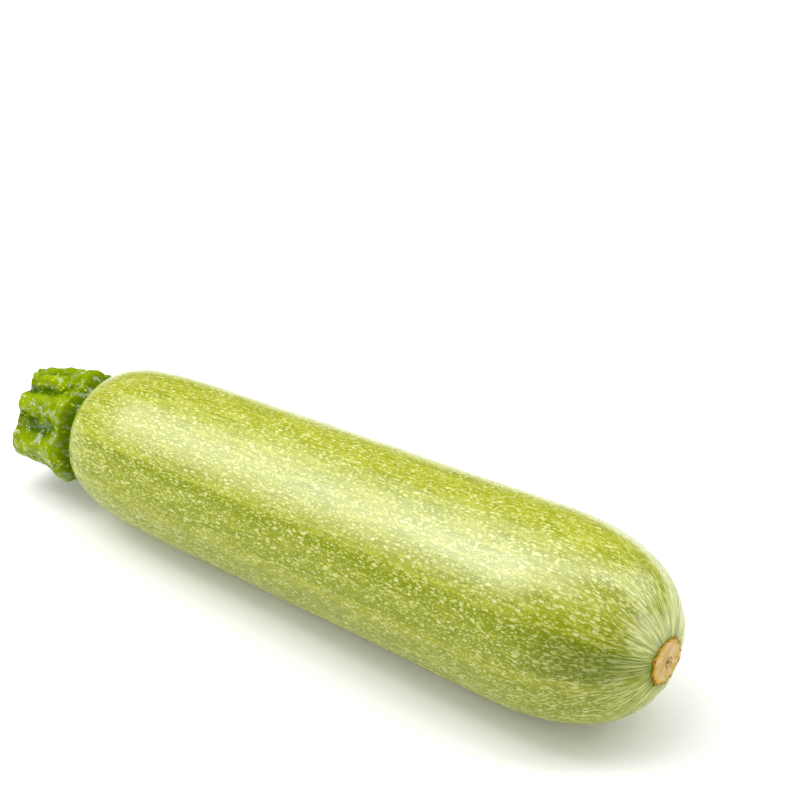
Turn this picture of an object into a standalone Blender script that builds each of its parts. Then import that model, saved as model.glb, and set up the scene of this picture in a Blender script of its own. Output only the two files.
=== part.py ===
"""A pale courgette with the stump of its stem, lying on its side.

Metres, +Z up. +X runs along the courgette, from the cut stem to the blossom end. The origin
is at the bottom centre of the whole courgette, on the surface that it lies on.

The pieces are turned about a growth axis, which is local X with x = 0 where the stem meets
the fruit, and are then shaped by formulas. An empty carries that axis: it tips it until the
tapered fruit lies on its belly, and centres the whole.
"""
import math

import bmesh
import bpy
from mathutils import Vector

# Fruit: a slightly swollen taper, closed by a squarish shoulder and a rounder nose
FRUIT_LENGTH = 0.185
STEM_END_RADIUS = 0.0209
BLOSSOM_END_RADIUS = 0.0269
BODY_SWELL = 0.0003
SHOULDER_LENGTH = 0.0446
SHOULDER_SQUARENESS = 4.3
NOSE_LENGTH = 0.0416
NOSE_SQUARENESS = 2.41
RIB_COUNT = 10
RIB_HEIGHT = 0.00012
RIB_FADE_LENGTH = 0.022
BELLY_FLATTENING = 0.00025

# Stem stump: five ridges that flare on to the shoulder of the fruit and stop at a straight cut
STEM_LENGTH = 0.0215
STEM_RIDGES = 5
STEM_FOOT_RADIUS = 0.0148
STEM_SWELL = 0.0008
STEM_SWELL_HEIGHT = 0.0028
STEM_WAIST_RADIUS = 0.0130
STEM_CUT_RADIUS = 0.0127
STEM_RIM_ROUNDING = 0.0009
FOOT_GROOVE_DEPTH = 0.14
WAIST_GROOVE_DEPTH = 0.36
CUT_GROOVE_DEPTH = 0.26
STEM_RIDGE_WIDTH = 0.8
STEM_LEAN = Vector((0.0, -0.0008, -0.0016))
RIDGE_ANGLE = math.radians(38)

# Blossom scar: a thin corky disc with a toothed rim and a ring where the style stood
SCAR_RADIUS = 0.0065
SCAR_THICKNESS = 0.0014
SCAR_SEAT_DEPTH = 0.0014
SCAR_TEETH = 13
SCAR_TOOTH_HEIGHT = 0.0009
SCALLOP_BLUNTNESS = 0.8
SCAR_RIM_ROUNDING = 0.0003
STYLE_RING_RADIUS = 0.0013
STYLE_RING_SKIRT = 0.0008
STYLE_RING_HEIGHT = 0.0002
STYLE_PIT_RADIUS = 0.0005
STYLE_PIT_DEPTH = 0.0003

# Fit and facets; a crowding over 1 draws the rings of a cap together towards its tip, and
# those of the stem's foot towards its edge
SEAT_GAP = 0.0003
FRUIT_SEGMENTS = 60
FRUIT_SHOULDER_RINGS = 11
FRUIT_BODY_RINGS = 8
FRUIT_NOSE_RINGS = 11
SHOULDER_CROWDING = 3.0
NOSE_CROWDING = 2.4
FOOT_CROWDING = 1.5
STEM_SEGMENTS = STEM_RIDGES * 12
STEM_FOOT_RINGS = 8
STEM_SIDE_RINGS = 13
SCAR_SEGMENTS = SCAR_TEETH * 4
MERGE_DISTANCE = 0.00001
SHARP_EDGE_ANGLE = math.radians(40)


def fruit_radius(x):
    """Radius of the fruit at x, before its ribs."""
    t = x / FRUIT_LENGTH
    taper = STEM_END_RADIUS + (BLOSSOM_END_RADIUS - STEM_END_RADIUS) * t
    swell = BODY_SWELL * 4 * t * (1 - t)
    shoulder = cap_factor(x / SHOULDER_LENGTH, SHOULDER_SQUARENESS)
    nose = cap_factor((FRUIT_LENGTH - x) / NOSE_LENGTH, NOSE_SQUARENESS)
    return (taper + swell) * shoulder * nose


def cap_factor(t, squareness):
    """Superellipse from 0 at the tip of a cap, t = 0, to 1 where the cap ends, t = 1."""
    inward = 1 - min(max(t, 0.0), 1.0)
    return max(1 - inward ** squareness, 0.0) ** (1 / squareness)


def station(radius, tip, inner):
    """The x between a tip of the fruit and an inner place where it has this radius."""
    for _ in range(50):
        middle = (tip + inner) / 2
        if fruit_radius(middle) < radius:
            tip = middle
        else:
            inner = middle
    return tip


def shoulder_x(radius):
    return station(radius, 0.0, SHOULDER_LENGTH)


def nose_x(radius):
    return station(radius, FRUIT_LENGTH, FRUIT_LENGTH - NOSE_LENGTH)


def smooth_step(t):
    t = min(max(t, 0.0), 1.0)
    return t * t * (3 - 2 * t)


def spread(start, end, count):
    """Evenly spaced values from start to end, both included."""
    return [start + (end - start) * i / (count - 1) for i in range(count)]


def turn(name, outline, segments, collection):
    """A closed solid turned about X from (x, radius) points that start and end on the axis."""
    mesh = bpy.data.meshes.new(name)
    edges = [(i, i + 1) for i in range(len(outline) - 1)]
    mesh.from_pydata([(x, radius, 0.0) for x, radius in outline], edges, [])
    piece = bpy.data.objects.new(name, mesh)
    collection.objects.link(piece)
    screw = piece.modifiers.new("Turn", "SCREW")
    screw.axis = "X"
    screw.steps = segments
    screw.render_steps = segments
    screw.use_merge_vertices = True
    screw.merge_threshold = MERGE_DISTANCE
    depsgraph = bpy.context.evaluated_depsgraph_get()
    turned = bpy.data.meshes.new_from_object(piece.evaluated_get(depsgraph))
    piece.modifiers.clear()
    piece.data = turned
    bpy.data.meshes.remove(mesh)
    turned.name = name
    return piece


def reshape(piece, formula):
    """Move each vertex to formula(x, radius, angle); 0 is towards -Y and a quarter turn up."""
    shell = bmesh.new()
    shell.from_mesh(piece.data)
    for vertex in shell.verts:
        x, y, z = vertex.co
        vertex.co = formula(x, math.hypot(y, z), math.atan2(z, -y))
    bmesh.ops.recalc_face_normals(shell, faces=shell.faces)
    shell.to_mesh(piece.data)
    shell.free()
    piece.data.shade_smooth()
    piece.data.set_sharp_from_angle(angle=SHARP_EDGE_ANGLE)


def around_axis(x, radius, angle):
    return Vector((x, -radius * math.cos(angle), radius * math.sin(angle)))


def lobes(count, angle):
    """1 on each ridge and 0 in each groove."""
    return 0.5 + 0.5 * math.cos(count * (angle - RIDGE_ANGLE))


def paint(piece, name, colour, roughness):
    """Give the piece a material of its own."""
    material = bpy.data.materials.new(name)
    material.use_nodes = True
    shader = material.node_tree.nodes["Principled BSDF"]
    shader.inputs["Base Color"].default_value = (*colour, 1.0)
    shader.inputs["Roughness"].default_value = roughness
    shader.inputs["Metallic"].default_value = 0.0
    material.diffuse_color = (*colour, 1.0)
    piece.data.materials.clear()
    piece.data.materials.append(material)


def make_fruit(collection):
    """The fruit, ribbed between the stem's foot and the seat for the scar in its nose."""
    foot_edge = shoulder_x(STEM_FOOT_RADIUS)
    seat_radius = SCAR_RADIUS + SEAT_GAP
    seat_rim = nose_x(seat_radius)
    nose_start = FRUIT_LENGTH - NOSE_LENGTH
    nose_span = seat_rim - nose_start
    from_tip = [t ** SHOULDER_CROWDING for t in spread(0.0, 1.0, FRUIT_SHOULDER_RINGS)]
    from_seat = [t ** NOSE_CROWDING for t in spread(1.0, 0.0, FRUIT_NOSE_RINGS)]
    shoulder = [SHOULDER_LENGTH * t for t in from_tip]
    body = spread(SHOULDER_LENGTH, nose_start, FRUIT_BODY_RINGS)[1:-1]
    nose = [seat_rim - nose_span * t for t in from_seat]
    outline = [(x, fruit_radius(x)) for x in shoulder + body + nose]
    seat_floor = seat_rim - SCAR_SEAT_DEPTH
    outline += [(seat_floor, seat_radius), (seat_floor, 0.0)]

    def ribbed(x, radius, angle):
        fade = smooth_step((x - foot_edge) / RIB_FADE_LENGTH)
        fade *= smooth_step((seat_rim - x) / RIB_FADE_LENGTH)
        ribs = RIB_HEIGHT * fade * (2 * lobes(RIB_COUNT, angle) - 1)
        return around_axis(x, radius + ribs, angle)

    fruit = turn("fruit", outline, FRUIT_SEGMENTS, collection)
    reshape(fruit, ribbed)
    paint(fruit, "courgette_skin", (0.42, 0.48, 0.09), 0.35)
    return fruit


def make_stem(collection):
    """The stump: its foot follows the fruit's shoulder, and its ridges lean as they rise."""
    side_start = shoulder_x(STEM_FOOT_RADIUS) - SEAT_GAP
    from_edge = [t ** FOOT_CROWDING for t in spread(1.0, 0.0, STEM_FOOT_RINGS)]
    foot = [(side_start, STEM_FOOT_RADIUS * (1 - t)) for t in from_edge]
    swell_x = side_start - STEM_SWELL_HEIGHT
    side_end = STEM_RIM_ROUNDING - STEM_LENGTH

    def risen(x):
        """0 on the foot, 1 at the swell, and from there on to 2 at the cut."""
        if x > swell_x:
            return (side_start - x) / STEM_SWELL_HEIGHT
        return 1 + (swell_x - x) / (swell_x + STEM_LENGTH)

    def along(x, foot_value, swell_value, waist_value, cut_value):
        """A smooth value that passes through these four, the waist halfway up the stump."""
        rise = risen(x)
        if rise < 1:
            return foot_value + (swell_value - foot_value) * math.sin(rise * math.pi / 2)
        if rise < 1.5:
            return swell_value + (waist_value - swell_value) * smooth_step((rise - 1) * 2)
        return waist_value + (cut_value - waist_value) * smooth_step((rise - 1.5) * 2)

    swell_radius = STEM_FOOT_RADIUS + STEM_SWELL
    radii = (STEM_FOOT_RADIUS, swell_radius, STEM_WAIST_RADIUS, STEM_CUT_RADIUS)
    grooves = (FOOT_GROOVE_DEPTH, FOOT_GROOVE_DEPTH, WAIST_GROOVE_DEPTH, CUT_GROOVE_DEPTH)
    side = [(x, along(x, *radii)) for x in spread(side_start, side_end, STEM_SIDE_RINGS)[1:]]
    rim_radius = STEM_CUT_RADIUS - STEM_RIM_ROUNDING
    cut = [(-STEM_LENGTH, rim_radius), (-STEM_LENGTH, rim_radius / 2), (-STEM_LENGTH, 0.0)]

    def ridged(x, radius, angle):
        valley = 1 - lobes(STEM_RIDGES, angle) ** STEM_RIDGE_WIDTH
        radius *= 1 - along(x, *grooves) * valley
        lean = STEM_LEAN * smooth_step(risen(x) / 2)
        if x > side_start - MERGE_DISTANCE:
            x = shoulder_x(radius) - SEAT_GAP
        else:
            edge = shoulder_x(STEM_FOOT_RADIUS * (1 - FOOT_GROOVE_DEPTH * valley)) - SEAT_GAP
            above_cut = (x + STEM_LENGTH) / (side_start + STEM_LENGTH)
            x = above_cut * (edge + STEM_LENGTH) - STEM_LENGTH
        return around_axis(x, radius, angle) + lean

    stem = turn("stem", foot + side + cut, STEM_SEGMENTS, collection)
    reshape(stem, ridged)
    paint(stem, "stem_green", (0.13, 0.26, 0.02), 0.3)
    return stem


def make_blossom_scar(collection):
    """The dry disc where the flower fell off, seated in the fruit's nose."""
    seat_rim = nose_x(SCAR_RADIUS + SEAT_GAP)
    back = seat_rim - SCAR_SEAT_DEPTH + SEAT_GAP
    front = back + SCAR_THICKNESS
    skirt_radius = STYLE_RING_RADIUS + STYLE_RING_SKIRT
    outline = [
        (back, 0.0),
        (back, SCAR_RADIUS),
        (front - SCAR_RIM_ROUNDING, SCAR_RADIUS),
        (front, SCAR_RADIUS - SCAR_RIM_ROUNDING),
        (front, skirt_radius),
        (front + STYLE_RING_HEIGHT, STYLE_RING_RADIUS),
        (front + STYLE_RING_HEIGHT - STYLE_PIT_DEPTH, STYLE_PIT_RADIUS),
        (front + STYLE_RING_HEIGHT - STYLE_PIT_DEPTH, 0.0),
    ]

    def toothed(x, radius, angle):
        scallop = abs(math.sin(SCAR_TEETH * angle / 2)) ** SCALLOP_BLUNTNESS
        at_rim = smooth_step((radius - skirt_radius) / (SCAR_RADIUS / 2))
        return around_axis(x, radius - SCAR_TOOTH_HEIGHT * scallop * at_rim, angle)

    scar = turn("blossom_scar", outline, SCAR_SEGMENTS, collection)
    reshape(scar, toothed)
    paint(scar, "scar_cork", (0.65, 0.45, 0.24), 0.7)
    return scar


def lay_down(pieces):
    """Tip the growth axis so that the tapered fruit lies on its belly."""
    near, far = FRUIT_LENGTH * 0.25, FRUIT_LENGTH * 0.75
    tilt = math.atan2(fruit_radius(far) - fruit_radius(near), far - near)
    height = fruit_radius(near) * math.cos(tilt) - near * math.sin(tilt) - BELLY_FLATTENING
    axis = bpy.data.objects.new("courgette_axis", None)
    bpy.context.scene.collection.objects.link(axis)
    axis.location = (0.0, 0.0, height)
    axis.rotation_euler = (0.0, -tilt, 0.0)
    for piece in pieces:
        piece.parent = axis
    return axis


def flatten_belly(fruit, cutters):
    """Cut the fruit level with the surface that it lies on."""
    size = FRUIT_LENGTH * 1.5
    bpy.ops.mesh.primitive_cube_add(size=size, location=(FRUIT_LENGTH / 2, 0.0, -size / 2))
    surface = bpy.context.object
    surface.name = "resting_surface"
    surface.display_type = "WIRE"
    surface.hide_render = True
    for collection in surface.users_collection:
        collection.objects.unlink(surface)
    cutters.objects.link(surface)
    cut = fruit.modifiers.new("Belly", "BOOLEAN")
    cut.operation = "DIFFERENCE"
    cut.solver = "EXACT"
    cut.object = surface
    return surface


def centre(axis, surface, pieces):
    """Move the courgette so that the origin is at the middle of its box."""
    depsgraph = bpy.context.evaluated_depsgraph_get()
    depsgraph.update()
    points = []
    for piece in pieces:
        evaluated = piece.evaluated_get(depsgraph)
        points += [evaluated.matrix_world @ vertex.co for vertex in evaluated.data.vertices]
    for i in (0, 1):
        middle = (min(point[i] for point in points) + max(point[i] for point in points)) / 2
        axis.location[i] -= middle
        surface.location[i] -= middle


def main():
    for leftover in list(bpy.data.objects):
        bpy.data.objects.remove(leftover)
    collection = bpy.data.collections.new("courgette")
    cutters = bpy.data.collections.new("cutters")
    for group in (collection, cutters):
        bpy.context.scene.collection.children.link(group)
    fruit = make_fruit(collection)
    pieces = [fruit, make_stem(collection), make_blossom_scar(collection)]
    axis = lay_down(pieces)
    surface = flatten_belly(fruit, cutters)
    centre(axis, surface, pieces)


main()
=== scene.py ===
import math

import bpy
import numpy as np
from mathutils import Matrix, Vector, noise


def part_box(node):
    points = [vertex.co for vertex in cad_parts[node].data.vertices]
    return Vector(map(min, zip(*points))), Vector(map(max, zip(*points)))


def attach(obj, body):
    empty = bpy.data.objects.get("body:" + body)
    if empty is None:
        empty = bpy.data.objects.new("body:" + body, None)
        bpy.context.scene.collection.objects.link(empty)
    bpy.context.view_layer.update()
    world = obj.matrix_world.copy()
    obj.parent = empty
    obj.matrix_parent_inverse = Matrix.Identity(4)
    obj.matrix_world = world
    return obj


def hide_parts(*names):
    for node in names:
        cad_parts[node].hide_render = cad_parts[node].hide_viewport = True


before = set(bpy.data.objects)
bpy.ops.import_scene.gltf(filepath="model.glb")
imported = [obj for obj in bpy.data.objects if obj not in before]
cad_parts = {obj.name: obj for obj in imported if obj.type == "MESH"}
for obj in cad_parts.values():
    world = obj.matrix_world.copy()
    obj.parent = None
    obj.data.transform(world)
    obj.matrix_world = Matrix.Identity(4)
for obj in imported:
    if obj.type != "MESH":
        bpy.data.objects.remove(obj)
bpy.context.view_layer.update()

MM = 0.001

# Fruit, as in the part
FRUIT_LENGTH = 185 * MM
STEM_END_RADIUS = 20.9 * MM
BLOSSOM_END_RADIUS = 26.9 * MM
BODY_SWELL = 0.3 * MM
SHOULDER_LENGTH = 44.6 * MM
SHOULDER_SQUARENESS = 4.3
NOSE_LENGTH = 41.6 * MM
NOSE_SQUARENESS = 2.41
BELLY_FLATTENING = 0.25 * MM
RIB_COUNT = 10
RIB_HEIGHT = 0.12 * MM
RIB_ANGLE = math.radians(38)
RIB_FADE = 22 * MM
SEAT_RADIUS = 6.8 * MM

# Skin surface
SKIN_SEGMENTS = 330
SKIN_RINGS = 280
# the part under the stump, which needs few rings
SKIN_HIDDEN_LENGTH = 9 * MM
SKIN_HIDDEN_RINGS = 8
STEM_EDGE_RADIUS = 14.8 * MM
FLUTE_DEPTH = 0.28 * MM
FLUTE_LENGTH = 13 * MM
FLUTE_RIM = 1.5 * MM
NOTCH_BLEND_RADIUS = 8.6 * MM
SEAT_DEPTH = 1.0 * MM
SEAT_WALL_DROP = 0.25 * MM
SEAT_WALL_INSET = 0.05 * MM
SEAT_FOOT_INSET = 0.1 * MM
SCAR_CLEARANCE = 0.06 * MM
# soft lumps: height, size, seed and stretch along the fruit
SKIN_LUMPS = (
    (0.21 * MM, 14 * MM, 3.0, 0.5),
    (0.075 * MM, 4.5 * MM, 11.0, 0.5),
    (0.026 * MM, 1.9 * MM, 23.0, 0.7),
)
LUMP_FADE_AT_SCAR = 10 * MM
LUMP_FADE_AT_STEM = 12 * MM

# Skin pattern, which lies on a cylinder of this radius
GRAIN_RADIUS = 24 * MM
# how it is drawn out at the ends: its share of a true length there, how far from the end
# it starts to tighten, and over what length
DRAWN_AT_NOSE = (0.28, 2 * MM, 18 * MM)
DRAWN_AT_SHOULDER = (0.45, 15 * MM, 14 * MM)
# darker stripes along flats between the ribs, in part their own darker green and in part painted
# shade, which darkens the lower front below the shine (-27, 14 and 26) and the side just past the
# top edge (140): angle and half width in degrees
SKIN_STRIPES_AND_SHADE = ((-27, 24), (14, 17), (26, 5), (140, 14), (175, 12), (214, 16), (262, 12))
# the stripe that stays dark as far as the scar, partly a darker green and partly painted shade,
# and the less glossy side
NOSE_STRIPE = (17, 17)
DULL_SIDE = (-20, 75)
# a turn of the speckles' pattern, so that it doesn't line up with the skin, and its scatter
SPOT_TURN = (0.6, 0.9, 0.4)
SPOT_SCATTER = 0.88

# Blossom scar
SCAR_TEETH = 13
SCAR_TOOTH_SEGMENTS = 22
SCAR_RADIUS = 6.75 * MM
SCAR_NOTCH = 1.0 * MM
SCAR_HEIGHT = 0.5 * MM
SCAR_THICKNESS = 0.9 * MM
SCAR_SIDE_RISE = 0.5 * MM
SCAR_SIDE_INSET = 0.02 * MM
SCAR_BACK_INSET = 0.1 * MM
SCAR_EDGE_DROP = 0.16 * MM
# how far its outline and the ring of the style sit off the axis, to the right and up
SCAR_OFF = (-0.2 * MM, -0.6 * MM)
STYLE_OFF = (0.5 * MM, -1.2 * MM)
# rings of relief around the style: radius, width and height in mm
STYLE_RELIEF = ((3.4, 1.3, -0.22), (1.25, 0.35, 0.26), (0.0, 0.6, -0.22))
TOOTH_DIMPLE_SHARE = 0.93
TOOTH_DIMPLE_DEPTH = 0.12 * MM

# Stem stump: the angle of its five ridges in degrees, and in mm their distance from the axis
# at the foot, the waist and the cut, and their length
RIDGE_ANGLES = (-171, -106, -35, 42, 119)
RIDGE_FOOT = (15.0, 16.1, 17.6, 15.6, 14.0)
RIDGE_WAIST = (12.9, 13.0, 15.3, 13.0, 13.6)
RIDGE_CUT = (12.6, 12.7, 14.2, 11.9, 11.2)
RIDGE_LENGTH = (21.8, 21.3, 20.7, 20.4, 24.2)
# where along the stump, as a share of its length, those hold, and how far the foot tucks in
STEM_FULL = 0.15
STEM_WAIST = 0.55
STEM_TUCK = 0.86
# its valleys: angle, width in degrees, and depth at the foot, at the waist and at the cut
VALLEYS = (
    (-135, 19, 0.10, 0.32, 0.28),
    (-66, 19, 0.10, 0.32, 0.30),
    (13, 17, 0.04, 0.21, 0.21),
    (67, 12, 0.04, 0.14, 0.22),
    (156, 19, 0.10, 0.32, 0.26),
)
# lumps and dimples on it: angle, share of its length, width, length, height in mm
KNOBS = (
    (46, 0.19, 12, 0.10, 1.0), (-12, 0.27, 12, 0.11, 1.0), (101, 0.23, 18, 0.13, 1.3),
    (95, 0.63, 8, 0.12, -1.1), (112, 0.86, 12, 0.10, 0.5), (3, 0.60, 8, 0.12, -0.5),
    (27, 0.56, 7, 0.09, -0.5), (-14, 0.72, 9, 0.09, 0.6), (-28, 0.46, 8, 0.08, -0.5),
    (-40, 0.62, 9, 0.12, 0.5), (52, 0.62, 7, 0.16, 0.4), (44, 0.88, 8, 0.08, 0.4),
    (-95, 0.25, 12, 0.12, 0.7), (-110, 0.65, 10, 0.15, -0.7), (-178, 0.3, 12, 0.14, 0.7),
    (-165, 0.7, 10, 0.12, -0.7), (128, 0.5, 9, 0.15, 0.5), (76, 0.40, 7, 0.10, 0.4),
)
VALLEY_SQUARENESS = 2.3
# small lumps on its side and on the cut face: height, size, seed and stretch, in mm
STEM_LUMPS = ((0.8, 4.4, 5.0, 0.8), (0.38, 2.3, 57.0, 0.9))
STEM_FINE_LUMPS = ((0.05, 0.7, 71.0, 0.25),)
CUT_LUMPS = ((0.22, 3.0, 9.0, 1.0), (0.07, 0.8, 4.0, 1.0))
STEM_SEGMENTS = 300
STEM_RINGS = 200
STEM_FOOT_RINGS = 11
# the cylinder of its pattern, in mm
STEM_GRAIN_RADIUS = 13
STEM_GRAIN_LENGTH = 21
# the rounded rim of the cut: shares of its width, and how far each is sunk in mm
CUT_RIM_SHARES = (0.988, 0.965, 0.94)
CUT_RIM_DROPS = (0.10, 0.22, 0.30)
CUT_FACE_DROP = 0.33
CUT_FACE_RINGS = 36
STEM_LEAN = (-0.8 * MM, -1.5 * MM)
STEM_FOOT_GAP = 0.05 * MM

# Colours in linear RGB, the darker one first where there are two
SKIN_GREEN = ((0.22, 0.265, 0.003), (0.385, 0.415, 0.02))
SKIN_NEAR_SCAR = (0.17, 0.215, 0.006)
SKIN_PATCH = (0.42, 0.45, 0.035)
# the stripes' green: partly a darker green of the flats, partly painted shade
STRIPE_AND_SHADE_GREEN = (0.20, 0.255, 0.004)
# the flat near the scar: its darker green, then the painted shade laid over its speckles
NOSE_STRIPE_GREEN = (0.13, 0.18, 0.001)
NOSE_PAINTED_SHADE = (0.15, 0.20, 0.001)
SMALL_SPECKLE = ((0.47, 0.50, 0.05), (0.69, 0.71, 0.29))
MEDIUM_SPECKLE = ((0.49, 0.52, 0.05), (0.70, 0.72, 0.32))
LARGE_SPECKLE = ((0.47, 0.51, 0.05), (0.70, 0.72, 0.31))
SKIN_THREAD = (0.53, 0.57, 0.11)
LIGHT_STREAK = (0.62, 0.65, 0.27)
DARK_STREAK = (0.19, 0.25, 0.010)
PINHOLE = (0.11, 0.17, 0.002)
# painted shade in the notches around the scar
NOTCH_SHADE = (0.13, 0.19, 0.006)
RIND_GREEN = ((0.12, 0.20, 0.0003), (0.20, 0.29, 0.001))
RIND_PATCH = (0.25, 0.33, 0.004)
# painted light on the stump's crests, and painted shade in its hollows and at its foot
RIND_CREST_LIGHT = (0.30, 0.39, 0.008)
RIND_HOLLOW_SHADE = (0.03, 0.08, 0.0005)
RIND_FOOT_SHADE = (0.035, 0.09, 0.0005)
RIND_FLECK = (0.50, 0.53, 0.03)
FLESH = ((0.34, 0.43, 0.10), (0.62, 0.66, 0.30))
FLESH_BUNDLE = (0.16, 0.25, 0.03)
FLESH_RIM = (0.13, 0.22, 0.012)
FLESH_PITH = (0.66, 0.66, 0.40)
CORK = ((0.45, 0.285, 0.052), (0.60, 0.44, 0.17))
CORK_CREAM = (0.64, 0.52, 0.30)
CORK_VEIN = (0.46, 0.23, 0.03)
CORK_RIM = (0.52, 0.29, 0.008)
STYLE_RING = (0.33, 0.18, 0.05)
STYLE_PIT = (0.09, 0.055, 0.03)
TOOTH_SPOT = (0.11, 0.035, 0.008)
TABLE_WHITE = (0.86, 0.86, 0.86)

# Camera and light
AIM = Vector((-14.7 * MM, 49.6 * MM, 30 * MM))
CAMERA_DISTANCE = 0.7
CAMERA_AZIMUTH = math.radians(37.233)
CAMERA_ELEVATION = math.radians(32.327)
CAMERA_LENS = 114.6
CAMERA_SENSOR = 36.0
CAMERA_REACH = 20.0
LIGHT_DISTANCE = 0.9
ROOM_LIGHT = 0.04
# softboxes: name, share of its direction along X, angle over the courgette from -Y in degrees,
# length in metres, height in degrees, radiance
SOFTBOXES = (
    ("low_left", -0.68, 34, 0.30, 26, 2.9),
    ("low_middle", -0.38, 34, 0.30, 26, 1.8),
    ("key_left", -0.68, 58, 0.30, 24, 2.6),
    ("key_middle", -0.38, 58, 0.30, 24, 3.6),
    ("high_left", -0.68, 80, 0.30, 24, 3.3),
    ("high_middle", -0.38, 80, 0.30, 24, 4.2),
    ("high_right", -0.05, 80, 0.36, 24, 3.9),
    ("core", -0.46, 68, 0.22, 14, 3.4),
    ("top_left", -0.40, 108, 0.50, 30, 2.0),
    ("top_right", 0.20, 105, 0.50, 30, 3.3),
    ("back_right", 0.55, 130, 0.50, 40, 3.1),
    ("far_right", 0.93, 140, 0.40, 30, 3.6),
)

# Table: its half width, how far it lies under the courgette, and the oval around the courgette
# past which it glows a little more, so that it stays white
TABLE_HALF = 6.0
TABLE_DROP = 0.1 * MM
TABLE_OVAL = (0.17, 0.09)


# ---------------------------------------------------------------- formulas

def smooth_step(t):
    """0 below 0, 1 above 1, and a smooth rise between."""
    t = np.clip(t, 0.0, 1.0)
    return t * t * (3 - 2 * t)


def cap_factor(t, squareness):
    """How a rounded end narrows: 0 at its tip, where t is 0, and 1 from t = 1 on."""
    inward = 1 - np.clip(t, 0.0, 1.0)
    return np.maximum(1 - inward ** squareness, 0.0) ** (1 / squareness)


def fruit_radius(x):
    """Radius of the fruit at x along its growth axis."""
    t = x / FRUIT_LENGTH
    taper = STEM_END_RADIUS + (BLOSSOM_END_RADIUS - STEM_END_RADIUS) * t
    swell = BODY_SWELL * 4 * t * (1 - t)
    shoulder = cap_factor(x / SHOULDER_LENGTH, SHOULDER_SQUARENESS)
    nose = cap_factor((FRUIT_LENGTH - x) / NOSE_LENGTH, NOSE_SQUARENESS)
    return (taper + swell) * shoulder * nose


def cap_table(tip, inner):
    """(radius, x) samples of a cap, from its tip inwards, close together at the tip."""
    t = np.linspace(0.0, 1.0, 2000) ** 4
    x = tip + (inner - tip) * t
    return fruit_radius(x), x


def shoulder_x(radius):
    """Where the shoulder at the stem has a radius."""
    radii, xs = cap_table(0.0, SHOULDER_LENGTH)
    return np.interp(radius, radii, xs)


def nose_x(radius):
    """Where the blossom end has a radius."""
    radii, xs = cap_table(FRUIT_LENGTH, FRUIT_LENGTH - NOSE_LENGTH)
    return np.interp(radius, radii, xs)


def noise_at(points, size, seed=0.0):
    """Smooth noise in -1..1 whose lumps are about size across, at an array of points."""
    shape = points.shape[:-1]
    flat = (points.reshape(-1, 3) / size + seed).tolist()
    values = [noise.noise(Vector(p)) for p in flat]
    return np.array(values).reshape(shape)


def lumpy(points, layers):
    """A sum of noises, each with its height, size, seed and stretch along the growth axis."""
    return sum(
        height * noise_at(points * [stretch, 1, 1], size, seed)
        for height, size, seed, stretch in layers
    )


def around_axis(x, radius, angle):
    """Points at a radius and an angle around the growth axis."""
    return np.stack([x + 0 * angle, -radius * np.cos(angle), radius * np.sin(angle)], axis=-1)


def lay_down(points):
    """From the growth axis to the row frame, where the tapered fruit lies on its belly."""
    near, far = 0.25 * FRUIT_LENGTH, 0.75 * FRUIT_LENGTH
    radii = fruit_radius(np.array([near, far]))
    tilt = math.atan2(radii[1] - radii[0], far - near)
    height = radii[0] * math.cos(tilt) - near * math.sin(tilt) - BELLY_FLATTENING
    seat_rim = float(nose_x(SEAT_RADIUS))
    reach = seat_rim * math.cos(tilt) + SEAT_RADIUS * math.sin(tilt)
    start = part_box("fruit")[1].x - reach
    x, y, z = points[..., 0], points[..., 1], points[..., 2]
    laid = np.stack([
        start + x * math.cos(tilt) - z * math.sin(tilt),
        y,
        height + x * math.sin(tilt) + z * math.cos(tilt),
    ], axis=-1)
    laid[..., 2] = np.maximum(laid[..., 2], 0.0)
    return laid


def tooth_wave(angle):
    """0 at the tips of the scar's teeth and 1 in the notches; the teeth are a little uneven."""
    bend = 0.10 * np.sin(2 * angle + 0.7) + 0.07 * np.sin(5 * angle + 2.1)
    return np.abs(np.sin(SCAR_TEETH * (angle + bend) / 2)) ** 0.8


def scar_outline(angle):
    """Distance from the growth axis to the rim of the scar, which sits a little off centre."""
    off = -SCAR_OFF[0] * np.cos(angle) + SCAR_OFF[1] * np.sin(angle)
    uneven = 0.5 + 0.5 * np.sin(3 * angle + 0.4) * np.sin(7 * angle + 1.3)
    depth = SCAR_NOTCH * (0.75 + 0.5 * uneven)
    oval = 0.18 * MM * np.sin(2 * angle + 1.0)
    return SCAR_RADIUS + oval + off - depth * tooth_wave(angle)


# ---------------------------------------------------------------- meshes

def new_object(name, data):
    """An object in the scene."""
    thing = bpy.data.objects.new(name, data)
    bpy.context.scene.collection.objects.link(thing)
    return thing


def closed_surface(name, rings):
    """A smooth closed mesh from rings of points; the first and last ring shrink to a pole."""
    count, segments = rings.shape[:2]
    first, last = rings[0].mean(axis=0), rings[-1].mean(axis=0)
    points = np.vstack([first, rings[1:-1].reshape(-1, 3), last])
    inner = count - 2
    index = 1 + np.arange(inner * segments).reshape(inner, segments)
    beside = np.roll(index, -1, axis=1)
    quads = np.stack([index[:-1], beside[:-1], beside[1:], index[1:]], axis=-1).reshape(-1, 4)
    fan_in = np.stack([np.zeros(segments, int), beside[0], index[0]], axis=-1)
    fan_out = np.stack([np.full(segments, len(points) - 1), index[-1], beside[-1]], axis=-1)
    mesh = bpy.data.meshes.new(name)
    mesh.from_pydata(points.tolist(), [], quads.tolist() + fan_in.tolist() + fan_out.tolist())
    mesh.shade_smooth()
    return new_object(name, mesh)


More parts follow.
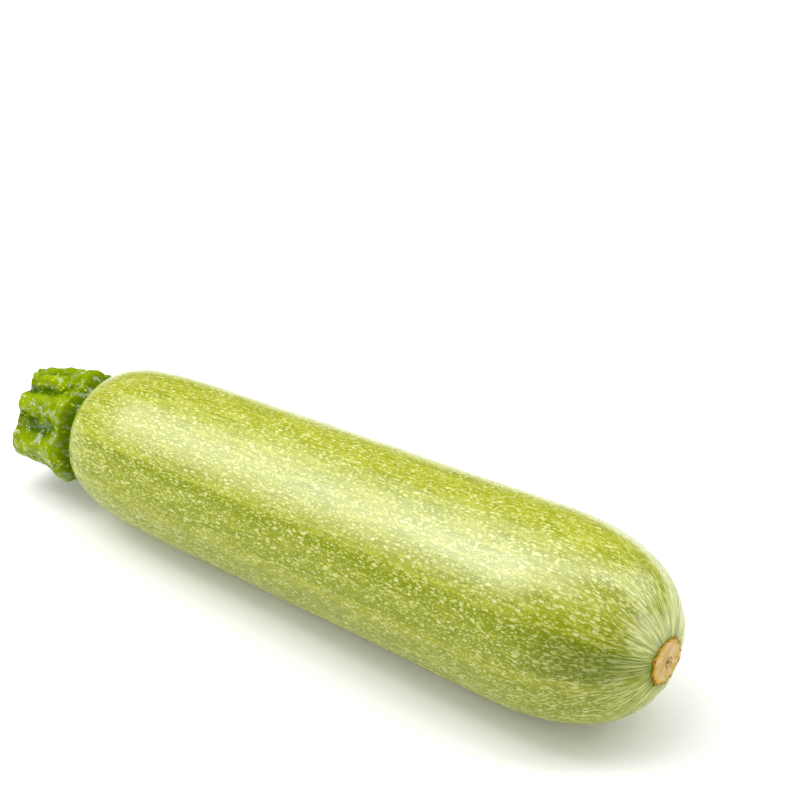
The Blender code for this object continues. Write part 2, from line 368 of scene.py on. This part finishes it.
def store(piece, name, rings):
    """Keep a value or a vector for each point, in rings like those of closed_surface."""
    vector = rings.ndim == 3
    pad = rings.shape[-1:] if vector else ()
    first, last = rings[0].mean(axis=0), rings[-1].mean(axis=0)
    inner = rings[1:-1].reshape((-1,) + pad)
    values = np.concatenate([first[None], inner, last[None]])
    kind = "FLOAT_VECTOR" if vector else "FLOAT"
    attribute = piece.data.attributes.new(name, kind, "POINT")
    attribute.data.foreach_set("vector" if vector else "value", values.astype(np.float32).ravel())


def arc_length(x, radius):
    """Length along a profile, at each of its points."""
    steps = np.hypot(np.diff(x), np.diff(radius))
    return np.concatenate([[0.0], np.cumsum(steps)])


def resample(x, radius, start, end, count):
    """Evenly spaced points of a profile between two arc lengths."""
    arc = arc_length(x, radius)
    wanted = np.linspace(start, end, count)
    return np.interp(wanted, arc, x), np.interp(wanted, arc, radius)


def drawn_out(distance, draw):
    """How tightly the skin's pattern is packed at a distance from an end of the fruit."""
    at_end, start, length = draw
    return at_end + (1 - at_end) * smooth_step((distance - start) / length)


def make_skin():
    """The skin: gently ribbed and lumpy, fluted at the nose, and sunk where the scar sits."""
    x = FRUIT_LENGTH * (0.5 - 0.5 * np.cos(np.linspace(0, math.pi, 4001)))
    radius = fruit_radius(x)
    arc = arc_length(x, radius)
    rim = np.interp(float(nose_x(SCAR_RADIUS)), x, arc)
    start = resample(x, radius, 0.0, SKIN_HIDDEN_LENGTH, SKIN_HIDDEN_RINGS)
    body = resample(x, radius, SKIN_HIDDEN_LENGTH, rim, SKIN_RINGS)
    xs = np.concatenate([start[0][:-1], body[0]])
    rs = np.concatenate([start[1][:-1], body[1]])
    along = arc_length(xs, rs)
    angles = np.linspace(0, 2 * math.pi, SKIN_SEGMENTS, endpoint=False)
    angle = np.broadcast_to(angles, (len(xs), SKIN_SEGMENTS))

    from_tip = along[-1] - along
    from_scar = from_tip[:, None] + 0 * angle
    shoulder = slice(0, 60)
    stem_edge = np.interp(STEM_EDGE_RADIUS, rs[shoulder], along[shoulder])
    from_stem = (along - stem_edge)[:, None] + 0 * angle

    # the speckles are drawn out towards both ends
    packing = drawn_out(from_tip, DRAWN_AT_NOSE) * drawn_out(along, DRAWN_AT_SHOULDER)
    grain_along = np.concatenate([[0.0], np.cumsum(np.diff(along) * packing[1:])])
    flat_grain = np.stack([
        grain_along[:, None] + 0 * angle,
        GRAIN_RADIUS * np.cos(angle),
        GRAIN_RADIUS * np.sin(angle),
    ], axis=-1)

    # towards the tip the rings take the scar's outline
    outline = scar_outline(angle) + SCAR_CLEARANCE
    blend = smooth_step((NOTCH_BLEND_RADIUS - rs) / (NOTCH_BLEND_RADIUS - SCAR_RADIUS))
    at_nose = xs > FRUIT_LENGTH - NOSE_LENGTH
    blend = np.where(at_nose, blend, 0.0)[:, None]
    r = rs[:, None] * (1 - blend) + (outline * rs[:, None] / SCAR_RADIUS) * blend
    x_there = np.where(blend > 0, nose_x(r), xs[:, None] + 0 * r)

    # ribs, flutes and lumps, along the radius
    fade = smooth_step(from_stem / RIB_FADE) * smooth_step(from_scar / RIB_FADE)
    ribs = RIB_HEIGHT * fade * np.cos(RIB_COUNT * (angle - RIB_ANGLE))
    lumps = lumpy(flat_grain, SKIN_LUMPS) * smooth_step(from_scar / LUMP_FADE_AT_SCAR)
    lumps *= smooth_step(along / LUMP_FADE_AT_STEM)[:, None]
    flute_fade = np.exp(-from_scar / FLUTE_LENGTH)
    flutes = -FLUTE_DEPTH * flute_fade * smooth_step(tooth_wave(angle))
    flutes *= smooth_step(from_scar / FLUTE_RIM + 0.35)
    slope = np.gradient(rs, along)
    outward = np.sqrt(np.maximum(1 - slope ** 2, 0.0))[:, None]
    push = ribs + lumps + flutes
    r = r + push * outward
    x_there = x_there - push * slope[:, None]
    rings = around_axis(x_there, r, angle)

    # the seat under the scar
    edge_x, edge_r, edge_angle = x_there[-1:], r[-1:], angle[-1:]
    seat_x = 0 * edge_x + edge_x.min() - SEAT_DEPTH
    wall = around_axis(edge_x - SEAT_WALL_DROP, edge_r - SEAT_WALL_INSET, edge_angle)
    deep = around_axis(seat_x, edge_r - SEAT_FOOT_INSET, edge_angle)
    centre = around_axis(seat_x, 0 * edge_r, edge_angle)
    rings = np.concatenate([rings, wall, deep, centre])

    # values for the material; those of the rim go on over the three rings of the seat
    def repeated(values):
        return np.concatenate([values] + [values[-1:]] * 3)

    skin = closed_surface("fruit_skin", lay_down(rings))
    store(skin, "grain", repeated(flat_grain) / MM)
    store(skin, "from_scar", repeated(from_scar) / MM)
    store(skin, "from_stem", repeated(from_stem) / MM)
    store(skin, "notch", repeated(tooth_wave(angle)))
    return skin


def ridge_values(values, angle):
    """The ridges' value around the stump, passing smoothly from ridge to ridge."""
    starts = np.array(RIDGE_ANGLES, float)
    ends = np.append(starts[1:], starts[0] + 360)
    turned = (np.degrees(angle) - starts[0]) % 360 + starts[0]
    which = np.clip(np.searchsorted(starts, turned, side="right") - 1, 0, len(starts) - 1)
    t = (turned - starts[which]) / (ends[which] - starts[which])
    values = np.array(values, float)
    here, following = values[which], values[(which + 1) % len(values)]
    return here + (following - here) * smooth_step(t)


def degrees_off(angle, centre):
    """Degrees from a direction around the stump, -180..180."""
    return (np.degrees(angle) - centre + 180) % 360 - 180


def knob(angle, s, centre, at, wide, tall):
    """A soft round bump on the stump's side, wide in degrees and tall as a share of its length."""
    return np.exp(-(degrees_off(angle, centre) / wide) ** 2 - ((s - at) / tall) ** 2)


def blurred(values, along, around):
    """Values averaged over so many rings and segments to each side."""
    padded = np.pad(values, ((along, along), (0, 0)), mode="edge")
    rows = [padded[k:k + len(values)] for k in range(2 * along + 1)]
    smooth = sum(rows) / len(rows)
    columns = [np.roll(smooth, k, axis=1) for k in range(-around, around + 1)]
    return sum(columns) / len(columns)


def make_stump():
    """The stump of the stem: five knobbly ridges, a foot that hugs the fruit, and a cut end."""
    angles = np.linspace(-math.pi, math.pi, STEM_SEGMENTS, endpoint=False)
    s = np.linspace(0, 1, STEM_RINGS)[:, None]
    angle = np.broadcast_to(angles, (STEM_RINGS, STEM_SEGMENTS))
    foot, waist, cut, length = [
        ridge_values(values, angle)
        for values in (RIDGE_FOOT, RIDGE_WAIST, RIDGE_CUT, RIDGE_LENGTH)
    ]

    def through(knots, values):
        """A value that passes smoothly through values at these shares of the length."""
        result = values[0] + 0 * angle
        for k in range(len(knots) - 1):
            t = smooth_step((s - knots[k]) / (knots[k + 1] - knots[k]))
            result = result + (values[k + 1] - values[k]) * t
        return result

    r = through((0, STEM_FULL, STEM_WAIST, 1), (STEM_TUCK * foot, foot, waist, cut))
    for centre, wide, at_foot, at_waist, at_cut in VALLEYS:
        dip = np.exp(-np.abs(degrees_off(angle, centre) / wide) ** VALLEY_SQUARENESS)
        r = r * (1 - dip * through((0, STEM_WAIST, 1), (at_foot, at_waist, at_cut)))
    for centre, at, wide, tall, height in KNOBS:
        r = r + height * knob(angle, s, centre, at, wide, tall)
    flat = np.stack([
        STEM_GRAIN_LENGTH * s + 0 * angle,
        STEM_GRAIN_RADIUS * np.cos(angle),
        STEM_GRAIN_RADIUS * np.sin(angle),
    ], axis=-1)

    # small lumps, with creases between them; only the finest reach the foot
    bent = flat + 0.8 * np.stack([noise_at(flat, 2.5, 40.0 + k) for k in range(3)], axis=-1)
    creases = 0.8 * (0.25 - np.abs(noise_at(bent * [0.7, 1, 1], 3.0, 31.0)))
    r = r + (lumpy(bent, STEM_LUMPS) + creases) * smooth_step((s + 0.02) / 0.12)
    r = r + lumpy(bent, STEM_FINE_LUMPS)
    # how far each point stands out from its neighbours, which the rind's painted light and shade
    # follow
    crest = np.clip(0.55 + 0.55 * (r - blurred(r, 9, 14)), 0, 1)

    foot_x = shoulder_x(r[:1] * MM) / MM - STEM_FOOT_GAP / MM
    x = foot_x - s * (length + foot_x)
    x = x + 0.25 * noise_at(flat, 4.0, 77.0) * smooth_step((s - 0.8) / 0.2)
    lean = smooth_step(s)

    # the foot closes against the shoulder, the far end is the cut face
    foot_angle = angle[:STEM_FOOT_RINGS]
    foot_r = r[0] * np.linspace(0, 1, STEM_FOOT_RINGS + 1)[:-1, None]
    foot_x = shoulder_x(foot_r * MM) / MM - STEM_FOOT_GAP / MM
    foot_rings = around_axis(foot_x, foot_r, foot_angle)
    side_rings = around_axis(x, r, angle)
    side_rings[..., 1] += STEM_LEAN[0] / MM * lean
    side_rings[..., 2] += STEM_LEAN[1] / MM * lean
    rim = side_rings[-1]
    middle = rim.mean(axis=0)
    face = []
    shares = np.concatenate([CUT_RIM_SHARES, np.linspace(0.91, 0, CUT_FACE_RINGS)])
    drops = CUT_RIM_DROPS + CUT_FACE_RINGS * (CUT_FACE_DROP,)
    for share, drop in zip(shares, drops):
        ring = middle + (rim - middle) * share
        ring[:, 0] = middle[0] + (rim[:, 0] - middle[0]) * share ** 2 - drop
        face.append(ring)
    face = np.stack(face)
    face[..., 0] += lumpy(face * [0, 1, 1], CUT_LUMPS)
    rings = np.concatenate([foot_rings, side_rings, face]) * MM

    # values for the material; a cut_share of 2 means that a point isn't on the cut
    on_foot, on_side, on_face = 0 * foot_r, 0 * r, 0 * face[..., 0]
    cut_share = np.concatenate([on_foot + 2, on_side + 2, on_face + shares[:, None]])
    flat_foot = np.stack([
        on_foot - 5,
        STEM_GRAIN_RADIUS * np.cos(foot_angle),
        STEM_GRAIN_RADIUS * np.sin(foot_angle),
    ], axis=-1)
    stump = closed_surface("stem_stump", lay_down(rings))
    store(stump, "grain", np.concatenate([flat_foot, flat, face]))
    store(stump, "from_foot", np.concatenate([on_foot, on_side + s, on_face + 1]))
    store(stump, "cut_share", cut_share)
    store(stump, "crest", np.concatenate([on_foot, crest, on_face + 1]))
    return stump


def make_scar():
    """The dry scar: a thin toothed disc with fine radial wrinkles and the style's ring."""
    segments = SCAR_TEETH * SCAR_TOOTH_SEGMENTS
    angles = np.linspace(0, 2 * math.pi, segments, endpoint=False)
    outline = scar_outline(angles)
    front = float(nose_x(SEAT_RADIUS)) + SCAR_HEIGHT
    shares = np.concatenate([np.linspace(1.0, 0.93, 6), np.linspace(0.91, 0, 64)])
    share = shares[:, None]
    angle = np.broadcast_to(angles, (len(shares), segments))
    r = outline * share

    # relief: a sunk edge, the style's rings, wrinkles, soft lumps and a dimple near each tip
    ring_r = np.hypot(-r * np.cos(angle) - STYLE_OFF[0], r * np.sin(angle) - STYLE_OFF[1]) / MM
    x = front - SCAR_EDGE_DROP * (1 - smooth_step((1 - share) / 0.05))
    for radius, width, height in STYLE_RELIEF:
        x = x + height * MM * np.exp(-((ring_r - radius) / width) ** 2)
    wrinkle = np.stack([r / MM * 0.35, 5 * np.cos(angle), 5 * np.sin(angle)], axis=-1)
    x = x + 0.05 * MM * noise_at(wrinkle, 0.42, 2.0) * smooth_step((ring_r - 1.2) / 1.5)
    x = x + 0.10 * MM * noise_at(around_axis(0 * r, r / MM, angle), 1.6, 14.0)
    dimple = np.exp(-((share - TOOTH_DIMPLE_SHARE) / 0.05) ** 2)
    dimple = dimple * (1 - tooth_wave(angle)) ** 1.3
    x = x - TOOTH_DIMPLE_DEPTH * dimple

    # the side and the back, which sit in the skin's seat
    rim_r, rim_angle = outline[None], angle[:1]
    back_x = front - SCAR_THICKNESS + 0 * rim_r
    side = around_axis(back_x + SCAR_SIDE_RISE, rim_r - SCAR_SIDE_INSET, rim_angle)
    under = around_axis(back_x, rim_r - SCAR_BACK_INSET, rim_angle)
    close = around_axis(back_x, 0 * rim_r, rim_angle)
    rings = np.concatenate([close, under, side, around_axis(x, r, angle)])[::-1]
    scar = closed_surface("scar_disc", lay_down(rings))

    # values for the material, the first three rings being the side and the back
    def padded(values, fill):
        return np.concatenate([np.full((3, segments), fill), values + 0 * angle])[::-1]

    store(scar, "share", padded(share, 1.0))
    store(scar, "tip", padded(dimple, 0.0))
    store(scar, "ring", padded(ring_r, 6.5))
    radial = np.stack([r / MM * 0.3, 5 * np.cos(angle), 5 * np.sin(angle)], axis=-1)
    store(scar, "radial", np.concatenate([radial[:1]] * 3 + [radial])[::-1])
    return scar


# ---------------------------------------------------------------- materials

class Nodes:
    """A short way to write a material's node tree: most methods add a node and give its output."""

    def __init__(self, name):
        self.material = bpy.data.materials.new(name)
        self.material.use_nodes = True
        self.tree = self.material.node_tree
        self.shader = self.tree.nodes["Principled BSDF"]

    def set(self, socket, value):
        """Link another node's output to a socket, or give the socket a value of its own."""
        if isinstance(value, bpy.types.NodeSocket):
            self.tree.links.new(value, socket)
        elif isinstance(value, tuple) and len(value) == 3 and socket.type == "RGBA":
            socket.default_value = (*value, 1.0)
        else:
            socket.default_value = value

    def finish(self, name, value):
        self.set(self.shader.inputs[name], value)

    def node(self, kind, inputs, **settings):
        """A new node; its inputs are given by name or by number."""
        node = self.tree.nodes.new(kind)
        for name, setting in settings.items():
            setattr(node, name, setting)
        for key, value in inputs.items():
            self.set(node.inputs[key], value)
        return node

    def attribute(self, name, output="Fac"):
        return self.node("ShaderNodeAttribute", {}, attribute_name=name).outputs[output]

    def math(self, operation, *values):
        inputs = dict(enumerate(values))
        return self.node("ShaderNodeMath", inputs, operation=operation).outputs[0]

    def times(self, a, b):
        return self.math("MULTIPLY", a, b)

    def span(self, value, low, high, to_low=0.0, to_high=1.0):
        """Value from low..high smoothly to to_low..to_high."""
        inputs = dict(enumerate((value, low, high, to_low, to_high)))
        node = self.node("ShaderNodeMapRange", inputs, interpolation_type="SMOOTHSTEP")
        return node.outputs[0]

    def band(self, value, rise, fall):
        """1 between two spans of the value, 0 before the first and after the second."""
        return self.times(self.span(value, *rise), self.span(value, *fall, 1.0, 0.0))

    def vector_math(self, operation, *values):
        inputs = dict(enumerate(values))
        return self.node("ShaderNodeVectorMath", inputs, operation=operation).outputs

    def scaled(self, vector, scale, offset=(0.0, 0.0, 0.0)):
        return self.vector_math("MULTIPLY_ADD", vector, scale, offset)[0]

    def add(self, a, b):
        return self.vector_math("ADD", a, b)[0]

    def length(self, vector):
        return self.vector_math("LENGTH", vector)["Value"]

    def dot(self, vector, direction):
        return self.vector_math("DOT_PRODUCT", vector, direction)["Value"]

    def turned(self, vector, angles):
        inputs = {"Vector": vector, "Rotation": angles}
        node = self.node("ShaderNodeVectorRotate", inputs, rotation_type="EULER_XYZ")
        return node.outputs[0]

    def noise(self, vector, scale, detail=2.0, roughness=0.5, output="Fac"):
        inputs = {"Vector": vector, "Scale": scale, "Detail": detail, "Roughness": roughness}
        return self.node("ShaderNodeTexNoise", inputs).outputs[output]

    def cells(self, vector, scale, randomness=1.0):
        """A Voronoi node, for both its distance and its random colour."""
        inputs = {"Vector": vector, "Scale": scale, "Randomness": randomness}
        return self.node("ShaderNodeTexVoronoi", inputs)

    def mix(self, share, a, b):
        """Colour a with a share of colour b over it."""
        inputs = {"Factor": share, 6: a, 7: b}
        return self.node("ShaderNodeMix", inputs, data_type="RGBA").outputs[2]

    def split(self, colour):
        return self.node("ShaderNodeSeparateColor", {0: colour}).outputs

    def bump(self, height, distance):
        inputs = {"Distance": distance, "Height": height}
        return self.node("ShaderNodeBump", inputs).outputs[0]


def spots(nodes, grain, cell, low, high, soft):
    """Rounded spots of uneven size: 1 inside, 0 between. cell is their spacing along and across
    the grain in mm, and low and high are their smallest and largest size as a share of it."""
    along, across = cell
    shaped = nodes.scaled(grain, (1 / along, 1 / across, 1 / across), (along * 7, 3.3, 1.7))
    voronoi = nodes.cells(nodes.turned(shaped, SPOT_TURN), 1.0, SPOT_SCATTER)
    random = nodes.split(voronoi.outputs["Color"])
    size = nodes.span(random[0], 0.0, 1.0, low, high)
    inner = nodes.math("SUBTRACT", size, soft)
    inside = nodes.span(voronoi.outputs["Distance"], inner, size, 1.0, 0.0)
    return inside, random


def stripe(nodes, grain, angle, half_width):
    """1 along a line of the skin at an angle around the axis, fading out to both sides."""
    angle, half_width = math.radians(angle), math.radians(half_width)
    radius = GRAIN_RADIUS / MM
    towards = nodes.dot(grain, (0.0, math.cos(angle) / radius, math.sin(angle) / radius))
    return nodes.span(towards, math.cos(half_width), math.cos(half_width * 0.55))


def skin_material():
    """Pale green skin under cream speckles that run along the fruit."""
    nodes = Nodes("courgette_skin")
    grain = nodes.attribute("grain", "Vector")
    from_scar = nodes.attribute("from_scar")
    from_stem = nodes.attribute("from_stem")
    notch = nodes.attribute("notch")

    # speckles of three sizes, a little wavy; the larger ones grow towards the scar
    wobble = nodes.noise(grain, 1.1, 2.0, 0.5, "Color")
    wobble = nodes.scaled(wobble, (0.4, 0.2, 0.2), (-0.2, -0.1, -0.1))
    bent = nodes.add(grain, wobble)
    largest = nodes.span(from_scar, 6.0, 45.0, 0.60, 0.46)
    large, large_random = spots(nodes, bent, (1.9, 0.88), 0.08, largest, 0.09)
    middling = nodes.span(from_scar, 6.0, 40.0, 0.56, 0.52)
    medium, medium_random = spots(nodes, bent, (1.15, 0.54), 0.12, middling, 0.08)
    small, small_random = spots(nodes, bent, (0.8, 0.36), 0.1, 0.50, 0.16)

    # the green between them
    fibres = nodes.noise(nodes.scaled(grain, (0.12, 1.8, 1.8)), 1.0, 3.0, 0.6)
    patches = nodes.noise(nodes.scaled(grain, (0.05, 0.16, 0.16)), 1.0, 2.0, 0.5)
    green = nodes.mix(nodes.span(fibres, 0.3, 0.7), *SKIN_GREEN)
    dark_end = nodes.span(from_scar, 2.0, 30.0, 1.0, 0.0)
    green = nodes.mix(nodes.times(dark_end, 0.6), green, SKIN_NEAR_SCAR)
    green = nodes.mix(nodes.span(patches, 0.35, 0.65, 0.0, 0.3), green, SKIN_PATCH)

    # darker stripes along some flats between the ribs, partly their own darker green and partly
    # painted shade on the lower front and just past the top edge
    for angle, half_width in SKIN_STRIPES_AND_SHADE:
        shade = nodes.times(stripe(nodes, grain, angle, half_width), 0.6)
        green = nodes.mix(shade, green, STRIPE_AND_SHADE_GREEN)

    # one flat stays dark green as far as the scar under the speckles, and painted shade darkens it
    # over them
    near_scar = nodes.span(from_scar, 8.0, 44.0, 1.0, 0.0)
    nose_green_and_shade = nodes.times(stripe(nodes, grain, *NOSE_STRIPE), near_scar)
    green = nodes.mix(nodes.times(nose_green_and_shade, 0.9), green, NOSE_STRIPE_GREEN)

    # the large speckles lie over the small ones, and fine threads run between
    colour = nodes.mix(nodes.times(small, 0.6), green, nodes.mix(small_random[1], *SMALL_SPECKLE))
    threads = nodes.span(from_stem, 5.0, 50.0, 0.75, 0.4)
    threads = nodes.times(nodes.span(fibres, 0.55, 0.67), threads)
    colour = nodes.mix(threads, colour, SKIN_THREAD)
    bright = nodes.mix(medium_random[1], *MEDIUM_SPECKLE)
    colour = nodes.mix(nodes.times(medium, 0.75), colour, bright)
    pale = nodes.mix(large_random[1], *LARGE_SPECKLE)
    colour = nodes.mix(nodes.times(large, 0.82), colour, pale)
    # painted shade over the speckles on the dark flat near the scar
    colour = nodes.mix(nodes.times(nose_green_and_shade, 0.52), colour, NOSE_PAINTED_SHADE)

    # long streaks close to both ends
    streaks = nodes.noise(nodes.scaled(grain, (0.10, 0.95, 0.95)), 1.0, 2.0, 0.55)
    at_nose = nodes.span(from_scar, 1.0, 17.0, 0.75, 0.0)
    at_shoulder = nodes.span(from_stem, 0.0, 15.0, 0.5, 0.0)
    at_ends = nodes.math("MAXIMUM", at_nose, at_shoulder)
    light_streaks = nodes.times(nodes.span(streaks, 0.53, 0.64), at_ends)
    colour = nodes.mix(light_streaks, colour, LIGHT_STREAK)
    dark_streaks = nodes.times(nodes.span(streaks, 0.36, 0.47, 0.8, 0.0), at_nose)
    colour = nodes.mix(dark_streaks, colour, DARK_STREAK)

    # sparse dark pinholes
    pins, pin_random = spots(nodes, grain, (3.2, 2.4), 0.08, 0.12, 0.03)
    pins = nodes.times(pins, nodes.span(pin_random[1], 0.45, 0.5, 0.0, 0.9))
    colour = nodes.mix(pins, colour, PINHOLE)

    # painted shade: a dark green line in the notches around the scar
    close = nodes.span(from_scar, 0.0, 2.6, 1.0, 0.0)
    ring = nodes.times(close, nodes.span(notch, 0.3, 1.0, 0.2, 0.85))
    nodes.finish("Base Color", nodes.mix(ring, colour, NOTCH_SHADE))

    # a gloss that is duller on the side and the nose below the shine
    dull = stripe(nodes, grain, *DULL_SIDE)
    nodes.finish("Specular IOR Level", nodes.span(dull, 0.0, 1.0, 0.76, 0.22))
    nodes.finish("Roughness", nodes.span(patches, 0.3, 0.7, 0.25, 0.31))
    nodes.finish("IOR", 1.52)

    # a faint relief of speckles, streaks and waves
    height = nodes.math("MULTIPLY_ADD", large, 0.35, nodes.times(medium, 0.25))
    height = nodes.math("MULTIPLY_ADD", light_streaks, 1.6, height)
    waves = nodes.noise(nodes.scaled(grain, (0.45, 0.6, 0.6)), 1.0, 3.0, 0.55)
    height = nodes.math("MULTIPLY_ADD", waves, 2.2, height)
    nodes.finish("Normal", nodes.bump(height, 0.03 * MM))
    return nodes.material


def stem_material():
    """Glossy green rind with yellow flecks, and the paler flesh of the cut."""
    nodes = Nodes("stem_rind")
    grain = nodes.attribute("grain", "Vector")
    cut_share = nodes.attribute("cut_share")
    crest = nodes.attribute("crest")
    from_foot = nodes.attribute("from_foot")
    wobble = nodes.noise(grain, 0.9, 2.0, 0.5, "Color")
    bent = nodes.add(grain, nodes.scaled(wobble, (0.8, 0.8, 0.8), (-0.4, -0.4, -0.4)))

    # rind: painted light on the crests, painted shade in the valleys and at the foot, with a few
    # flecks
    fibres = nodes.noise(nodes.scaled(bent, (0.18, 1.4, 1.4)), 1.0, 3.0, 0.6)
    patches = nodes.noise(bent, 0.35, 2.0, 0.5)
    green = nodes.mix(nodes.span(fibres, 0.3, 0.7), *RIND_GREEN)
    green = nodes.mix(nodes.span(patches, 0.4, 0.7, 0.0, 0.6), green, RIND_PATCH)
    green = nodes.mix(nodes.span(crest, 0.55, 1.0, 0.0, 0.5), green, RIND_CREST_LIGHT)
    green = nodes.mix(nodes.span(crest, 0.0, 0.5, 0.85, 0.0), green, RIND_HOLLOW_SHADE)
    green = nodes.mix(nodes.span(from_foot, 0.0, 0.17, 0.8, 0.0), green, RIND_FOOT_SHADE)
    flecks, fleck_random = spots(nodes, bent, (1.3, 0.75), 0.05, 0.42, 0.12)
    few = nodes.span(fleck_random[1], 0.55, 0.75)
    rind = nodes.mix(nodes.times(flecks, few), green, RIND_FLECK)

    # cut: a ring of darker bundles, a green rim and a pale pith
    flesh = nodes.mix(nodes.noise(grain, 1.6, 3.0, 0.6), *FLESH)
    bundle = nodes.cells(nodes.scaled(grain, (0.0, 1.0, 1.0)), 0.62)
    bundle_dot = nodes.span(bundle.outputs["Distance"], 0.12, 0.34, 1.0, 0.0)
    bundle_ring = nodes.band(cut_share, (0.5, 0.6), (0.8, 0.88))
    flesh = nodes.mix(nodes.times(bundle_dot, bundle_ring), flesh, FLESH_BUNDLE)
    flesh = nodes.mix(nodes.span(cut_share, 0.9, 0.97), flesh, FLESH_RIM)
    pith = nodes.span(cut_share, 0.2, 0.42, 1.0, 0.0)
    flesh = nodes.mix(nodes.times(pith, 0.7), flesh, FLESH_PITH)
    on_cut = nodes.span(cut_share, 0.99, 1.2, 1.0, 0.0)
    nodes.finish("Base Color", nodes.mix(on_cut, rind, flesh))

    # the gloss comes in patches
    shine = nodes.noise(nodes.scaled(bent, (0.8, 1.0, 1.0)), 0.75, 3.0, 0.65)
    nodes.finish("Specular IOR Level", nodes.span(shine, 0.50, 0.56, 0.0, 1.0))
    nodes.finish("Roughness", nodes.span(on_cut, 0.0, 1.0, 0.08, 0.6))
    nodes.finish("IOR", 1.42)
    height = nodes.math("MULTIPLY_ADD", fibres, 1.0, nodes.times(flecks, 0.3))
    nodes.finish("Normal", nodes.bump(height, 0.12 * MM))
    return nodes.material


def scar_material():
    """Dry tan cork, browner at its rim, with a dark spot near the tip of each tooth."""
    nodes = Nodes("scar_cork")
    radial = nodes.attribute("radial", "Vector")
    share = nodes.attribute("share")
    tip = nodes.attribute("tip")
    ring = nodes.attribute("ring")

    # cork with cream patches and brown veins that run outwards
    lines = nodes.noise(radial, 1.6, 3.0, 0.6)
    cork = nodes.mix(nodes.span(lines, 0.3, 0.7), *CORK)
    cream = nodes.noise(radial, 0.5, 2.0, 0.5)
    cork = nodes.mix(nodes.span(cream, 0.42, 0.65, 0.0, 0.6), cork, CORK_CREAM)
    veins = nodes.math("SUBTRACT", nodes.noise(radial, 0.9, 1.0, 0.5), 0.5)
    veins = nodes.span(nodes.math("ABSOLUTE", veins), 0.0, 0.03, 0.65, 0.0)
    cork = nodes.mix(veins, cork, CORK_VEIN)

    # its rim, the ring and the pit of the style, and the teeth
    cork = nodes.mix(nodes.span(share, 0.82, 0.94), cork, CORK_RIM)
    style = nodes.band(ring, (0.9, 1.2), (1.35, 1.7))
    cork = nodes.mix(nodes.times(style, 0.85), cork, STYLE_RING)
    cork = nodes.mix(nodes.span(ring, 0.3, 0.65, 0.95, 0.0), cork, STYLE_PIT)
    cork = nodes.mix(nodes.span(tip, 0.2, 0.5), cork, TOOTH_SPOT)
    nodes.finish("Base Color", cork)
    nodes.finish("Roughness", nodes.span(lines, 0.3, 0.7, 0.75, 0.6))
    nodes.finish("Specular IOR Level", 0.2)
    nodes.finish("Normal", nodes.bump(lines, 0.08 * MM))
    return nodes.material


# ---------------------------------------------------------------- stage

def make_floor():
    """A white table with a faint glow, a little stronger away from the courgette."""
    half, low = TABLE_HALF, -TABLE_DROP
    corners = [(-half, -half, low), (half, -half, low), (half, half, low), (-half, half, low)]
    mesh = bpy.data.meshes.new("floor")
    mesh.from_pydata(corners, [], [(0, 1, 2, 3)])
    nodes = Nodes("white_table")
    place = nodes.node("ShaderNodeTexCoord", {}).outputs["Object"]
    reach = nodes.length(nodes.scaled(place, (1 / TABLE_OVAL[0], 1 / TABLE_OVAL[1], 0.0)))
    nodes.finish("Base Color", TABLE_WHITE)
    nodes.finish("Roughness", 0.9)
    nodes.finish("Emission Color", (1.0, 1.0, 1.0))
    nodes.finish("Emission Strength", nodes.span(reach, 0.4, 1.3, 0.10, 0.27))
    mesh.materials.append(nodes.material)
    floor = new_object("floor", mesh)


def soft_light(name, sideways, turn, length, height, radiance):
    """A softbox over the courgette, its length along X. sideways is the X part of its direction,
    turn its angle over the courgette from -Y, and height the angle that it covers."""
    across = math.sqrt(1 - sideways ** 2)
    turn = math.radians(turn)
    place = LIGHT_DISTANCE * Vector((sideways, -across * math.cos(turn), across * math.sin(turn)))
    away = place.normalized()
    level = (Vector((1, 0, 0)) - away * away.x).normalized()
    data = bpy.data.lights.new(name, "AREA")
    data.shape = "RECTANGLE"
    data.size = length
    data.size_y = 2 * LIGHT_DISTANCE * math.tan(math.radians(height / 2))
    data.energy = radiance * math.pi * data.size * data.size_y
    light = new_object(name, data)
    light.matrix_world = Matrix((level, away.cross(level), away)).transposed().to_4x4()
    light.location = place


def light_scene():
    """Softboxes over the courgette in a dim white room."""
    world = bpy.data.worlds.new("studio")
    bpy.context.scene.world = world
    world.use_nodes = True
    background = world.node_tree.nodes["Background"]
    background.inputs["Color"].default_value = (1.0, 1.0, 1.0, 1.0)
    background.inputs["Strength"].default_value = ROOM_LIGHT
    for softbox in SOFTBOXES:
        soft_light(*softbox)
    bpy.context.scene.view_settings.view_transform = "Standard"


def make_camera():
    """The photograph's view."""
    data = bpy.data.cameras.new("camera")
    data.lens = CAMERA_LENS
    data.sensor_width = CAMERA_SENSOR
    data.clip_end = CAMERA_REACH
    camera = new_object("camera", data)
    away = Vector((
        math.sin(CAMERA_AZIMUTH) * math.cos(CAMERA_ELEVATION),
        -math.cos(CAMERA_AZIMUTH) * math.cos(CAMERA_ELEVATION),
        math.sin(CAMERA_ELEVATION),
    ))
    camera.location = AIM + away * CAMERA_DISTANCE
    camera.rotation_euler = (AIM - camera.location).to_track_quat("-Z", "Y").to_euler()
    bpy.context.scene.camera = camera


# ---------------------------------------------------------------- the courgette

make_camera()
for make, node, material, slot in (
    (make_skin, "fruit", skin_material, "skin"),
    (make_stump, "stem", stem_material, "stem"),
    (make_scar, "blossom_scar", scar_material, "scar"),
):
    piece = make()
    piece.data.materials.append(material())
    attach(piece, "root")
    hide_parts(node)
make_floor()
light_scene()
